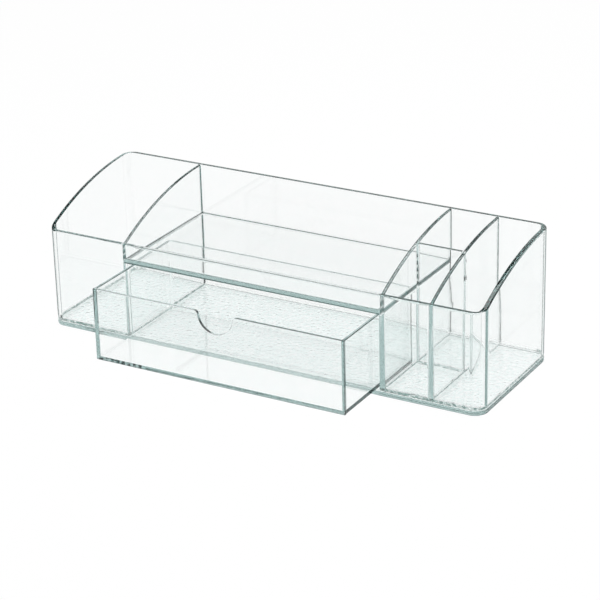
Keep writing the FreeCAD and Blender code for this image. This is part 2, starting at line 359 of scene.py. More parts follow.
def add_painted_edge_shade(nodes, links, tint):
    """The tint, turned to a dark painted shade at grazing angles on the outside of rims and
    corners.
    """
    # the face's rim value makes the painted shade set in sooner
    widened = nodes.new("ShaderNodeMath")
    widened.operation = "MULTIPLY_ADD"
    links.new(face_value(nodes, "rim"), widened.inputs[0])
    widened.inputs[1].default_value = PAINTED_SHADE_REACH
    links.new(nodes.new("ShaderNodeLayerWeight").outputs["Facing"], widened.inputs[2])
    grazing = eased_range(nodes, links, widened.outputs["Value"], PAINTED_SHADE_RANGE)
    inside = nodes.new("ShaderNodeNewGeometry").outputs["Backfacing"]
    share = join(nodes, links, "MULTIPLY", grazing, one_less(nodes, links, inside))
    painted_shade_tint = colour_mix(nodes, links, share)
    links.new(tint, painted_shade_tint.inputs["A"])
    painted_shade_tint.inputs["B"].default_value = PAINTED_EDGE_SHADE
    return painted_shade_tint.outputs["Result"]


def clear_plastic(name, waves, wave_height, haze, deep_tint, density=DENSITY):
    """Clear plastic. Its body takes up light with the distance, painted shade darkens its outside
    towards grazing angles, and light crosses a bonded face without bending."""
    material = bpy.data.materials.new(name)
    material.use_nodes = True
    nodes, links = material.node_tree.nodes, material.node_tree.links
    shader, output = nodes["Principled BSDF"], nodes["Material Output"]
    shader.inputs["IOR"].default_value = INDEX
    shader.inputs["Transmission Weight"].default_value = 1.0

    marks = nodes.new("ShaderNodeGroup")
    marks.node_tree = moulding_marks
    marks.inputs["Waves per Metre"].default_value = waves
    marks.inputs["Wave Height"].default_value = wave_height
    marks.inputs["Haze"].default_value = haze
    marks.inputs["Deep Tint"].default_value = (*deep_tint, 1)
    links.new(marks.outputs["Roughness"], shader.inputs["Roughness"])
    links.new(add_painted_edge_shade(nodes, links, marks.outputs["Tint"]), shader.inputs["Base Color"])
    bump = nodes.new("ShaderNodeBump")
    bump.inputs["Distance"].default_value = 1.0
    links.new(marks.outputs["Height"], bump.inputs["Height"])
    links.new(bump.outputs["Normal"], shader.inputs["Normal"])
    links.new(one_less(nodes, links, face_value(nodes, "bonded")), shader.inputs["Alpha"])

    through = nodes.new("ShaderNodeBsdfTransparent")
    through.inputs["Color"].default_value = SHADOW_TINT
    shadow = nodes.new("ShaderNodeLightPath").outputs["Is Shadow Ray"]
    shader_mix(nodes, links, shadow, shader.outputs["BSDF"], through.outputs["BSDF"], output)
    absorption = nodes.new("ShaderNodeVolumeAbsorption")
    absorption.inputs["Color"].default_value = ABSORBED
    absorption.inputs["Density"].default_value = density
    links.new(absorption.outputs["Volume"], output.inputs["Volume"])
    return material


moulding_marks = make_moulding_marks()
polished = clear_plastic("polished_clear_plastic", waves=140, wave_height=0.006 * MM, haze=0.03,
                         deep_tint=(0.99, 0.997, 0.995))
rippled = clear_plastic("rippled_clear_plastic", waves=420, wave_height=0.09 * MM, haze=0.12,
                        deep_tint=(0.84, 0.92, 0.91), density=8.0)
bubbly = clear_plastic("bubbly_bond_line", waves=620, wave_height=0.16 * MM, haze=0.25,
                       deep_tint=(0.12, 0.23, 0.21))


# ---------------------------------------- painted edge shade
#
# Painted shade: dark rims, corners and edges, standing in for the dark surroundings that they
# refract and reflect. Each depth says how strongly a face shows it: 0 never, 5 from almost every
# side. A pair is the depth at the two ends of what it grows along.

LIP_PAINTED_SHADE = 5.0                  # under the lip and along its lower edge
LIP_LINE_PAINTED_SHADE = 4.8             # the fine line along the shelf's fillet
BACK_RIM_PAINTED_SHADE = (2.2, 3.2)      # from the left end to the right
RIGHT_RIM_PAINTED_SHADE = (2.5, 4.6)     # from the back to the front
RIM_PAINTED_SHADE = (1.1, 3.0)           # the rest of the rim, from the left end to the right
CORNER_PAINTED_SHADE = {"left": 2.3, "right front": 1.0, "right back": 2.9}
DIVIDER_PAINTED_SHADE = (2.8, 5.3)       # from the back to the front, at the casing's right end
CROSS_PAINTED_SHADE = 3.4
SHELF_BACK_PAINTED_SHADE, SHELF_FRONT_PAINTED_SHADE = 3.4, 2.4
PLATE_BACK_PAINTED_SHADE = 3.2           # the right bin's far floor line
PLATE_FRONT_PAINTED_SHADE, PLATE_BAY_PAINTED_SHADE, PLATE_END_PAINTED_SHADE = 4.4, 2.6, 2.4
DRAWER_FOOT_PAINTED_SHADE = 4.0
DRAWER_TOP_PAINTED_SHADE = (1.8, 3.2)    # left and right of the notch
DRAWER_END_PAINTED_SHADE = 2.8
DRAWER_LEFT_PAINTED_SHADE, DRAWER_EDGE_PAINTED_SHADE = 4.4, 2.0
DRAWER_WALL_PAINTED_SHADE = 2.4

RISING = 0.05       # a normal that rises more than this belongs to a rounded top
HANGING = -0.1      # and one that falls more than this to an underside
TURNING = 0.02      # a corner's normal leans this much both ways
FLAT = 0.98         # a flat face's normal lies this close to an axis
FILLET_RISE = (0.1, 0.97)       # the normals of a root fillet rise by between these


def grown(pair, share):
    """Depth of the painted shade a share of the way between its two ends."""
    return pair[0] + (pair[1] - pair[0]) * share


# ---------------------------------------- casing wall

INNER_CORNER = 5.5 * MM     # inside radius of the casing's upright corners
FOOT = 2.4 * MM             # height of the bubbly bond line under every casing wall
RIM_ROUND = 1.2 * MM        # outside rounding of the casing's rim
BACK_RIM_ROUND = 0.5 * MM   # and along its back
CRISP = 0.3 * MM            # rounding of the edges that look sharp
OPENING_ROUND = 0.5 * MM    # rounding of the drawer opening's upright edges
OPENING_SEGMENTS = 3
OPENING_EDGE = math.radians(60)     # only edges that turn by more are rounded there
LIP_EDGE = 0.9 * MM         # height of the painted dark line along the lip's lower edge and of the fine painted line along the fillet above it
LIP_LINE = 0.3 * MM         # and of the fine one along the fillet above it
SHELF_END_FILLET = 1.7 * MM     # the shelf's root fillet at its right end is larger
SHELF_ROOT_LOW, SHELF_ROOT_HIGH = SHELF_LOW - ROOT_FILLET, SHELF_HIGH + ROOT_FILLET
SHELF_END_LOW, SHELF_END_HIGH = SHELF_LOW - SHELF_END_FILLET, SHELF_HIGH + SHELF_END_FILLET

# the dividers, and whether each has a root fillet on its left and on its right
DIVIDERS = {"left_divider": (1, 0), "middle_divider": (0, 1), "right_divider": (1, 1)}

# where the shelf is cemented to the dividers at its ends, and to the front and back walls
SHELF_END_CONTACTS = [((BAY_LEFT, INNER_FRONT, SHELF_ROOT_LOW),
                       (BAY_LEFT, INNER_BACK, SHELF_ROOT_HIGH)),
                      ((BAY_RIGHT, INNER_FRONT, SHELF_END_LOW),
                       (BAY_RIGHT, INNER_BACK, SHELF_END_HIGH))]
SHELF_SIDE_CONTACTS = [((BAY_LEFT, y, SHELF_LOW), (BAY_RIGHT, y, SHELF_HIGH))
                       for y in (INNER_FRONT, INNER_BACK)]


def divider_contacts(node):
    """Where a divider is cemented to the front and back walls."""
    x_low, x_high = span(node, "X")
    left_root, right_root = DIVIDERS[node]
    left, right = x_low - ROOT_FILLET * left_root, x_high + ROOT_FILLET * right_root
    return [((left, y, 0), (right, y, FAR)) for y in (INNER_FRONT, INNER_BACK)]


def rim_round(y):
    """Outside rounding of the rim: smaller along the back wall."""
    share = max(0.0, (y - SHELL_BACK) / CORNER_RADIUS + 1)
    return RIM_ROUND + (BACK_RIM_ROUND - RIM_ROUND) * share


def round_opening(bm):
    """Round the outer edges of the drawer opening."""
    def on_opening(vert):
        x, y, z = vert.co
        upright = min(abs(x - BAY_LEFT), abs(x - BAY_RIGHT)) < SEAM and z < SHELF_LOW + SEAM
        return abs(y - SHELL_FRONT) < SEAM and upright

    edges = [e for e in bm.edges if on_opening(e.verts[0]) and on_opening(e.verts[1])
             and e.calc_face_angle(0) > OPENING_EDGE]
    bmesh.ops.bevel(bm, geom=edges, offset=OPENING_ROUND, segments=OPENING_SEGMENTS, profile=0.5,
                    affect="EDGES")


def shell_rim_painted_shade(place):
    """Painted shade on the casing's rim."""
    if place.y > INNER_BACK - SEAM:
        return grown(BACK_RIM_PAINTED_SHADE, along(place.x) ** 3)
    if place.y > INNER_FRONT + SHELL_WALL and place.x > 0:
        return grown(RIGHT_RIM_PAINTED_SHADE, frontward(place.y) ** 2)
    return grown(RIM_PAINTED_SHADE, along(place.x)) + along(place.x) ** 3


def shell_painted_shade(place, normal):
    """Painted shade on the casing wall: its rim, its four corners and the drawer opening's edge."""
    if normal.z > RISING:
        return shell_rim_painted_shade(place)
    if normal.z < HANGING and place.z > BASE_TOP + FOOT:
        return LIP_PAINTED_SHADE
    over_bay = BAY_LEFT < place.x < BAY_RIGHT and place.y < SHELL_FRONT + SEAM
    if over_bay and SHELF_LOW < place.z < SHELF_LOW + LIP_EDGE:
        return LIP_PAINTED_SHADE
    if over_bay and SHELF_ROOT_HIGH < place.z < SHELF_ROOT_HIGH + LIP_LINE:
        return LIP_LINE_PAINTED_SHADE
    if min(abs(normal.x), abs(normal.y)) < TURNING:
        return 0.0
    if place.x < 0:
        return CORNER_PAINTED_SHADE["left"]
    return CORNER_PAINTED_SHADE["right back" if place.y > 0 else "right front"]


def shell_paths(stops):
    """The casing wall in plan, anticlockwise from its left end: its outer and its inner points,
    with one at each stop along the front and the back, and where the drawer opening starts."""
    outer_path, inner_path = [], []
    inset = SHELL_WALL + INNER_CORNER
    left, right = SHELL_LEFT + CORNER_RADIUS, SHELL_RIGHT - CORNER_RADIUS
    front, back = SHELL_FRONT + CORNER_RADIUS, SHELL_BACK - CORNER_RADIUS

    def straight(points, normal):
        for x, y in points:
            outer_path.append((x, y))
            inner_path.append((x - normal[0] * SHELL_WALL, y - normal[1] * SHELL_WALL))

    def bend(x_side, y_side, start):
        centre = (right if x_side > 0 else left, back if y_side > 0 else front)
        inner_centre = (SHELL_RIGHT - inset if x_side > 0 else SHELL_LEFT + inset,
                        SHELL_BACK - inset if y_side > 0 else SHELL_FRONT + inset)
        outer_path.extend(arc(centre, CORNER_RADIUS, start, start + QUARTER))
        inner_path.extend(arc(inner_centre, INNER_CORNER, start, start + QUARTER))

    bend(-1, -1, 2 * QUARTER)
    opening = len(outer_path) + stops.index(BAY_LEFT)
    straight([(x, SHELL_FRONT) for x in stops], (0, -1))
    bend(1, -1, 3 * QUARTER)
    straight([(SHELL_RIGHT, y) for y in spread(front, back, WALL_STEP)[1:-1]], (1, 0))
    bend(1, 1, 0)
    straight([(x, SHELL_BACK) for x in reversed(stops)], (0, 1))
    bend(-1, 1, QUARTER)
    straight([(SHELL_LEFT, y) for y in spread(back, front, WALL_STEP)[1:-1]], (-1, 0))
    return outer_path, inner_path, opening


def make_shell():
    """The wall that runs round all four sides, with the drawer opening in its front."""
    contacts = [box for node in DIVIDERS for box in divider_contacts(node)]
    ends = {x for low, high in contacts for x in (low[0], high[0])}
    outer_path, inner_path, opening = shell_paths(sorted(ends | {BAY_LEFT, BAY_RIGHT}))
    levels = (BASE_TOP + FOOT, SHELF_LOW, SHELF_LOW + LIP_EDGE, SHELF_HIGH, SHELF_ROOT_HIGH,
              SHELF_ROOT_HIGH + LIP_LINE)
    cuts = [section(levels, top_line((outer[1] + inner[1]) / 2), SHELL_WALL,
                    rim_round(outer[1]), CRISP)
            for outer, inner in zip(outer_path, inner_path)]
    bm = wall_strip(outer_path, inner_path, cuts, closed=True, open_below=(opening,))
    round_opening(bm)
    bond(bm, *contacts, *SHELF_SIDE_CONTACTS)
    set_painted_shade_depth(bm, shell_painted_shade)
    new_piece("shell_wall", bm, "outer_shell", "casing", polished)


# ---------------------------------------- dividers and shelf

DIVIDER_TOP = 2.2 * MM      # thickness of a divider under its round top
DRAFT_FOOT = 0.55 * MM      # moulding draft: how far a divider's faces stand out at the foot
DRAFT_SHELF = 0.1 * MM      # and at the shelf
CROSSING_GAP = 1 * MM       # a divider has no other place this close to the cross divider
CROSS_ROUND = 0.35 * MM     # the cross divider's top is flatter than the long dividers'
CROSS_STEP = 8 * MM
SHELF_STEP = 40 * MM


def divider_end_contacts():
    """The ends of the dividers, which the draft makes a little wider."""
    return [((-FAR, y, 0), (FAR, y, FAR)) for y in (INNER_FRONT + SEAM, INNER_BACK - SEAM)]


def cross_contacts():
    """Where the cross divider is cemented to its two neighbours."""
    y_low, y_high = span("cross_divider", "Y")
    return [((x - DRAFT_FOOT, y_low - ROOT_FILLET, 0), (x + DRAFT_FOOT, y_high + ROOT_FILLET, FAR))
            for x in span("cross_divider", "X")]


def divider_painted_shade(place, normal):
    """Painted shade on a divider's round top: deeper towards the right end and the front."""
    if normal.z < RISING:
        return 0.0
    return along(place.x) * grown(DIVIDER_PAINTED_SHADE, frontward(place.y))


def make_divider(node):
    """A long divider: thicker towards its foot, with an arched round top and root fillets."""
    x_low, x_high = span(node, "X")
    middle = (x_low + x_high) / 2
    y_low, y_high = span("cross_divider", "Y")
    crossing = [y_low - ROOT_FILLET, y_high + ROOT_FILLET]
    ys = [y for y in fillet_places(INNER_FRONT + SEAM, INNER_BACK - SEAM, WALL_STEP)
          if not crossing[0] - CROSSING_GAP < y < crossing[1] + CROSSING_GAP]
    ys = sorted(ys + crossing)
    left_root, right_root = DIVIDERS[node]
    near, far = [], []
    for y in ys:
        widening = flare(min(y - INNER_FRONT, INNER_BACK - y))
        near.append((middle - DIVIDER_TOP / 2 - left_root * widening, y))
        far.append((middle + DIVIDER_TOP / 2 + right_root * widening, y))
    levels = (BASE_TOP + FOOT, SHELF_END_LOW, SHELF_ROOT_LOW, SHELF_LOW, SHELF_HIGH,
              SHELF_ROOT_HIGH, SHELF_END_HIGH)
    draft = [DRAFT_FOOT] + [DRAFT_SHELF] * (len(levels) - 1)
    cuts = [section(levels, top_line(y), DIVIDER_TOP, DIVIDER_TOP / 2, DIVIDER_TOP / 2, draft)
            for y in ys]
    bm = wall_strip(near, far, cuts)
    bond(bm, *divider_end_contacts(), *SHELF_END_CONTACTS, *cross_contacts())
    set_painted_shade_depth(bm, divider_painted_shade)
    new_piece(f"{node}_panel", bm, node, "casing", polished)


def make_cross_divider():
    """The short divider between the two brush bins, shorter at the foot because its neighbours
    lean towards it there."""
    (x_low, y_low, _), (x_high, y_high, _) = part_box("cross_divider")
    xs = fillet_places(x_low + SEAM, x_high - SEAM, CROSS_STEP)
    near, far = [], []
    for x in xs:
        widening = flare(min(x - x_low, x_high - x))
        near.append((x, y_low - widening))
        far.append((x, y_high + widening))
    foot = BASE_TOP + FOOT
    cut = section((foot, SHELF_LOW), top_line(y_low), y_high - y_low, CROSS_ROUND, CROSS_ROUND)
    bm = wall_strip(near, far, [cut] * len(xs))
    middle, half = (x_low + x_high) / 2, (x_high - x_low) / 2
    for vert in bm.verts:
        lowness = max(0.0, 1 - (vert.co.z - foot) / (SHELF_LOW - foot))
        shorter = (DRAFT_FOOT - DRAFT_SHELF) * lowness
        vert.co.x = middle + (vert.co.x - middle) * (half - shorter) / half
    bond(bm, *cross_contacts())
    # the cross divider's round top gets painted shade
    set_painted_shade_depth(bm, lambda place, normal: CROSS_PAINTED_SHADE if normal.z > RISING else 0.0)
    new_piece("cross_divider_panel", bm, "cross_divider", "casing", polished)


def shelf_section(y_low, y_high, low, high):
    """The shelf cut across: its corners, with a root fillet above at the front and the back."""
    fillet = [(ROOT_FILLET * (1 - math.sin(a)), ROOT_FILLET * (1 - math.cos(a)))
              for a in spread(0, QUARTER, ROUND_STEP)]
    back = [(y_high - reach, high + rise) for reach, rise in reversed(fillet)]
    front = [(y_low + reach, high + rise) for reach, rise in fillet]
    return [(y_low, low), (y_high, low), (y_high, high)] + back + front + [(y_low, high)]


def shelf_painted_shade(place, normal):
    """Painted shade on the fillets along the shelf's front and back."""
    if place.z < SHELF_HIGH or not FILLET_RISE[0] < normal.z < FILLET_RISE[1]:
        return 0.0
    return SHELF_BACK_PAINTED_SHADE if place.y > INNER_BACK - ROOT_FILLET else SHELF_FRONT_PAINTED_SHADE


def make_shelf():
    """The shelf, thicker where it runs into the dividers at its two ends."""
    y_low, y_high = INNER_FRONT + SEAM, INNER_BACK - SEAM
    bm = bmesh.new()
    rings = []
    for x in fillet_places(BAY_LEFT + SEAM, BAY_RIGHT - SEAM, SHELF_STEP, SHELF_END_FILLET):
        widening = max(flare(x - BAY_LEFT), flare(BAY_RIGHT - x, SHELF_END_FILLET))
        cut = shelf_section(y_low, y_high, SHELF_LOW - widening, SHELF_HIGH + widening)
        rings.append([bm.verts.new((x, y, z)) for y, z in cut])
    loft(bm, rings)
    bond(bm, *SHELF_END_CONTACTS, *SHELF_SIDE_CONTACTS)
    set_painted_shade_depth(bm, shelf_painted_shade)
    new_piece("tray_shelf", bm, "shelf", "casing", polished)


# ---------------------------------------- base plate

RIPPLE_DEPTH = 0.34 * MM
RIPPLE_CELL, RIPPLE_SHARE, RIPPLE_SLICE = 2.4 * MM, 0.36, 3.7
FINE_CELL, FINE_SHARE, FINE_SLICE = 1.2 * MM, 0.30, 11.3
PLATE_STEP = 0.5 * MM       # how finely the rippled face is drawn
PLATE_ROUND = 0.45 * MM     # rounding of the base plate's edges
PLATE_TURNS = [math.radians(a) for a in (30, 60, 90)]
GROOVE = 0.3 * MM           # width and depth of the fine groove round the middle of its edge
BACK_LINE = 0.9 * MM        # width of the painted dark line at the foot of the back wall
LEVEL = 0.9                 # the normals of its flat faces rise or fall by at least this

PLATE_CORNER = CORNER_RADIUS - PLATE_ROUND
CORE_X = (SHELL_RIGHT - SHELL_LEFT) / 2 - PLATE_ROUND - PLATE_CORNER
CORE_Y = (SHELL_BACK - SHELL_FRONT) / 2 - PLATE_ROUND - PLATE_CORNER
CENTRE_X, CENTRE_Y = (SHELL_RIGHT + SHELL_LEFT) / 2, (SHELL_BACK + SHELL_FRONT) / 2
GROOVE_HEIGHT = (BASE_BOTTOM + BASE_TOP) / 2


def ripple(x, y):
    """How far the rippled face lies below the plate's full height, from 0 to RIPPLE_DEPTH."""
    broad = noise.noise(Vector((x / RIPPLE_CELL, y / RIPPLE_CELL, RIPPLE_SLICE)))
    fine = noise.noise(Vector((x / FINE_CELL, y / FINE_CELL, FINE_SLICE)))
    height = 0.5 + RIPPLE_SHARE * broad + FINE_SHARE * fine
    return RIPPLE_DEPTH * min(max(1 - height, 0), 1)


def plate_stations(core):
    """Places across the plate, measured from its middle, with one at each end of its core."""
    corner = spread(0, PLATE_CORNER, PLATE_STEP)
    before = [-core - PLATE_CORNER + d for d in corner[:-1]]
    return before + spread(-core, core, PLATE_STEP) + [-x for x in reversed(before)]


def into_outline(x, y):
    """Bring a place of the square-cornered grid into the plate's round-cornered outline."""
    u, v = (abs(x) - CORE_X) / PLATE_CORNER, (abs(y) - CORE_Y) / PLATE_CORNER
    if u <= 0 or v <= 0:
        return x, y
    reach = max(u, v)
    angle = QUARTER / 2 * v / u if u >= v else QUARTER - QUARTER / 2 * u / v
    return (math.copysign(CORE_X + reach * PLATE_CORNER * math.cos(angle), x),
            math.copysign(CORE_Y + reach * PLATE_CORNER * math.sin(angle), y))


def make_rippled_face(bm):
    """The plate's upper face. Returns the corners of its outline, in order."""
    grid = []
    for x in plate_stations(CORE_X):
        column = []
        for y in plate_stations(CORE_Y):
            px, py = into_outline(x, y)
            corner = (CENTRE_X + px, CENTRE_Y + py, BASE_TOP - ripple(px, py))
            column.append(bm.verts.new(corner))
        grid.append(column)
    for first, second in zip(grid, grid[1:]):
        for j in range(len(first) - 1):
            bm.faces.new((first[j], second[j], second[j + 1], first[j + 1]))
    front, back = [column[0] for column in grid], [column[-1] for column in grid]
    return front + grid[-1][1:] + back[-2::-1] + grid[0][-2:0:-1]


def ring_outside(bm, outline, reach, height):
    """The plate's outline again, moved outwards by reach, at the given height."""
    ring = []
    for vert in outline:
        x, y = vert.co.x - CENTRE_X, vert.co.y - CENTRE_Y
        near_x, near_y = max(-CORE_X, min(CORE_X, x)), max(-CORE_Y, min(CORE_Y, y))
        grow = 1 + reach / math.hypot(x - near_x, y - near_y)
        ring.append(bm.verts.new((CENTRE_X + near_x + (x - near_x) * grow,
                                  CENTRE_Y + near_y + (y - near_y) * grow, height)))
    return ring


def plate_painted_shade(place, normal):
    """Painted shade on the plate: its groove, its lower edge and the right bin's far floor line."""
    at_back = INNER_BACK - BACK_LINE < place.y < INNER_BACK
    if normal.z > LEVEL and place.x > BAY_RIGHT and at_back:
        return PLATE_BACK_PAINTED_SHADE
    in_groove = abs(place.z - GROOVE_HEIGHT) < GROOVE / 2
    low = place.z < BASE_BOTTOM + PLATE_ROUND
    if abs(normal.z) > LEVEL or not (in_groove or low):
        return 0.0
    if abs(normal.y) <= abs(normal.x):
        return PLATE_END_PAINTED_SHADE
    return PLATE_FRONT_PAINTED_SHADE if place.x > BAY_RIGHT else PLATE_BAY_PAINTED_SHADE


def make_base():
    """The plate under everything: rippled above, flat below, with rounded edges and a groove."""
    bm = bmesh.new()
    outline = make_rippled_face(bm)
    edge_top = BASE_TOP - RIPPLE_DEPTH / 2
    levels = [(PLATE_ROUND * math.sin(a), edge_top - PLATE_ROUND * (1 - math.cos(a)))
              for a in PLATE_TURNS]
    levels += [(PLATE_ROUND, GROOVE_HEIGHT + GROOVE / 2),
               (PLATE_ROUND - GROOVE, GROOVE_HEIGHT),
               (PLATE_ROUND, GROOVE_HEIGHT - GROOVE / 2)]
    levels += [(PLATE_ROUND * math.sin(a), BASE_BOTTOM + PLATE_ROUND * (1 - math.cos(a)))
               for a in reversed(PLATE_TURNS)]
    levels.append((0.0, BASE_BOTTOM))
    rings = [outline] + [ring_outside(bm, outline, reach, height) for reach, height in levels]
    for upper, lower in zip(rings, rings[1:]):
        band(bm, upper, lower)
    bm.faces.new(rings[-1])
    set_painted_shade_depth(bm, plate_painted_shade)
    new_piece("rippled_base", bm, "base_plate", "casing", rippled)


# ---------------------------------------- bond lines

BUBBLE_CELL = 1.3 * MM
BUBBLE_DEPTH = 0.42 * MM
BACK_BUBBLE_DEPTH = 0.10 * MM
BUBBLE_SPREAD = 1.5         # a lump goes in this much further sideways than up and down
BEAD_STEP = 0.35 * MM       # how finely a bead is drawn along
BEAD_SIDE_POINTS = 4        # and on each of its four sides
BEAD_EDGE = 0.25 * MM       # what lies this near its top or foot moves up and down as well


def bead_section(half, low, high):
    """A bead cut across: offsets from its middle line, and heights, side by side."""
    shares = [(k + 0.5) / BEAD_SIDE_POINTS for k in range(BEAD_SIDE_POINTS)]
    return [(half, low + (high - low) * share) for share in shares] + \
        [(half - 2 * half * share, high) for share in shares] + \
        [(-half, high - (high - low) * share) for share in shares] + \
        [(-half + 2 * half * share, low) for share in shares]


def bead(name, stations, width, depth=BUBBLE_DEPTH, material=bubbly):
    """A bubbly strip of cement on the base plate, along a wall's foot. Each station is a place
    on its middle line and the direction across it."""
    bm = bmesh.new()
    low, high = BASE_TOP + SEAM, BASE_TOP + FOOT - SEAM
    rings = []
    for (x, y), (nx, ny) in stations:
        ring = []
        for offset, z in bead_section(width / 2, low, high):
            px, py = x + nx * offset, y + ny * offset
            lump = depth * (0.5 + 0.5 * noise.noise(Vector((px, py, z)) / BUBBLE_CELL))
            lift = lump if z <= low + BEAD_EDGE else -lump if z >= high - BEAD_EDGE else 0
            slide = -math.copysign(min(lump * BUBBLE_SPREAD, abs(offset)), offset)
            ring.append(bm.verts.new((px + nx * slide, py + ny * slide, z + lift)))
        rings.append(ring)
    loft(bm, rings)
    new_piece(name, bm, None, "casing", material)


def straight_stations(start, end, normal):
    """Stations along a straight run, without its last place."""
    length = math.dist(start, end)
    return [((start[0] + (end[0] - start[0]) * d / length,
              start[1] + (end[1] - start[1]) * d / length), normal)
            for d in spread(0, length, BEAD_STEP)[:-1]]


def corner_stations(centre, radius, start):
    """Stations round a quarter turn, without its last place."""
    return [((centre[0] + radius * math.cos(a), centre[1] + radius * math.sin(a)),
             (math.cos(a), math.sin(a)))
            for a in spread(start, start + QUARTER, BEAD_STEP / radius)[:-1]]


def make_shell_beads():
    """The bond lines under the casing wall: frothy at the front and the ends, clear at the back."""
    half = SHELL_WALL / 2
    radius = CORNER_RADIUS - half
    left, right = SHELL_LEFT + CORNER_RADIUS, SHELL_RIGHT - CORNER_RADIUS
    front, back = SHELL_FRONT + CORNER_RADIUS, SHELL_BACK - CORNER_RADIUS
    west, east = SHELL_LEFT + half, SHELL_RIGHT - half
    south, north = SHELL_FRONT + half, SHELL_BACK - half
    bead("front_bond_line",
         straight_stations((BAY_RIGHT, south), (right, south), (0, -1)) +
         corner_stations((right, front), radius, 3 * QUARTER) +
         straight_stations((east, front), (east, back), (1, 0)) +
         corner_stations((right, back), radius, 0), SHELL_WALL)
    bead("back_bond_line", straight_stations((right, north), (left, north), (0, 1)), SHELL_WALL,
         BACK_BUBBLE_DEPTH, polished)
    bead("left_bond_line",
         corner_stations((left, back), radius, QUARTER) +
         straight_stations((west, back), (west, front), (-1, 0)) +
         corner_stations((left, front), radius, 2 * QUARTER) +
         straight_stations((left, south), (BAY_LEFT, south), (0, -1)), SHELL_WALL)


def make_divider_beads():
    """The bond lines under the dividers."""
    for node in DIVIDERS:
        x_low, x_high = span(node, "X")
        ys = spread(INNER_FRONT + SEAM, INNER_BACK - SEAM, BEAD_STEP)
        stations = [(((x_low + x_high) / 2, y), (1, 0)) for y in ys]
        bead(f"{node}_bond_line", stations, x_high - x_low)
    (x_low, y_low, _), (x_high, y_high, _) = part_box("cross_divider")
    xs = spread(x_low + SEAM, x_high - SEAM, BEAD_STEP)
    stations = [((x, (y_low + y_high) / 2), (0, 1)) for x in xs]
    bead("cross_divider_bond_line", stations, y_high - y_low)


# ---------------------------------------- drawer

DRAWER_ROUND = 0.6 * MM     # rounding of the top edges of the drawer's side walls
DRAWER_CRISP = 0.5 * MM     # rounding of its other edges
NOTCH_STEP = math.radians(3)
BLEND_STEP = math.radians(8)


def drawer_contacts():
    """Where the drawer's side walls and floor are cemented to its front and to each other."""
    x_low, x_high = span("drawer_wall", "X")
    plane = span("drawer_front", "Y")[1]
    floor_high = span("drawer_floor", "Z")[1]
    inner_left, inner_right = x_low + DRAWER_WALL, x_high - DRAWER_WALL
    return [((x_low, plane, 0), (inner_left, plane, FAR)),
            ((inner_right, plane, 0), (x_high, plane, FAR)),
            ((inner_left, plane, 0), (inner_right, plane, floor_high))]


def notch_outline(middle, top):
    """The finger notch from right to left: a blend, the bowl and the other blend."""
    notch_z = top - NOTCH_DEPTH + NOTCH_RADIUS
    blend_z = top - NOTCH_BLEND
    rise = blend_z - notch_z
    blend_x = math.sqrt((NOTCH_RADIUS + NOTCH_BLEND) ** 2 - rise ** 2)
    lean = math.atan2(rise, blend_x)        # from the notch's centre to a blend's centre
    right_blend = arc((middle + blend_x, blend_z), NOTCH_BLEND, QUARTER, math.pi + lean, BLEND_STEP)
    bowl = arc((middle, notch_z), NOTCH_RADIUS, lean, -math.pi - lean, NOTCH_STEP)
    left_blend = [(2 * middle - x, z) for x, z in reversed(right_blend)]
    return right_blend + bowl[1:-1] + left_blend


def drawer_front_painted_shade(place, normal):
    """Painted shade on the drawer front: its foot, its top, its right end and its rounded edges."""
    (x_low, _, z_low), (x_high, _, z_high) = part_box("drawer_front")
    if place.z < z_low + DRAWER_CRISP:
        return DRAWER_FOOT_PAINTED_SHADE
    if normal.z > FLAT and place.z > z_high - SEAM:
        return DRAWER_TOP_PAINTED_SHADE[1 if place.x > (x_low + x_high) / 2 else 0]
    if normal.x > FLAT and place.x > x_high - SEAM:
        return DRAWER_END_PAINTED_SHADE
    if max(map(abs, normal)) > FLAT:
        return 0.0
    return DRAWER_LEFT_PAINTED_SHADE if place.x < x_low + DRAWER_CRISP else DRAWER_EDGE_PAINTED_SHADE


def make_drawer_front():
    """The drawer's square-cornered front panel, with its finger notch."""
    (x_low, y_low, z_low), (x_high, y_high, z_high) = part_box("drawer_front")
    floor_top = span("drawer_floor", "Z")[1]
    wall_left, wall_right = span("drawer_wall", "X")
    profile = [(x_high, z_high), (wall_right - DRAWER_WALL, z_high)] + \
        notch_outline((x_low + x_high) / 2, z_high) + \
        [(wall_left + DRAWER_WALL, z_high), (x_low, z_high)]
    near = [(x, y_low) for x, _ in profile]
    far = [(x, y_high - SEAM) for x, _ in profile]
    cuts = [section((z_low, floor_top), z, DRAWER_WALL, DRAWER_CRISP, DRAWER_CRISP,
                    near_foot_round=DRAWER_CRISP) for _, z in profile]
    bm = wall_strip(near, far, cuts)
    bond(bm, *drawer_contacts())
    set_painted_shade_depth(bm, drawer_front_painted_shade)
    new_piece("drawer_front_panel", bm, "drawer_front", "drawer", polished)


def drawer_wall_painted_shade(place, normal):
    """Painted shade on the drawer's side wall: its foot and its rounded edges."""
    if place.z < span("drawer_wall", "Z")[0] + DRAWER_CRISP:
        return DRAWER_FOOT_PAINTED_SHADE
    return DRAWER_WALL_PAINTED_SHADE if max(map(abs, normal)) < FLAT else 0.0


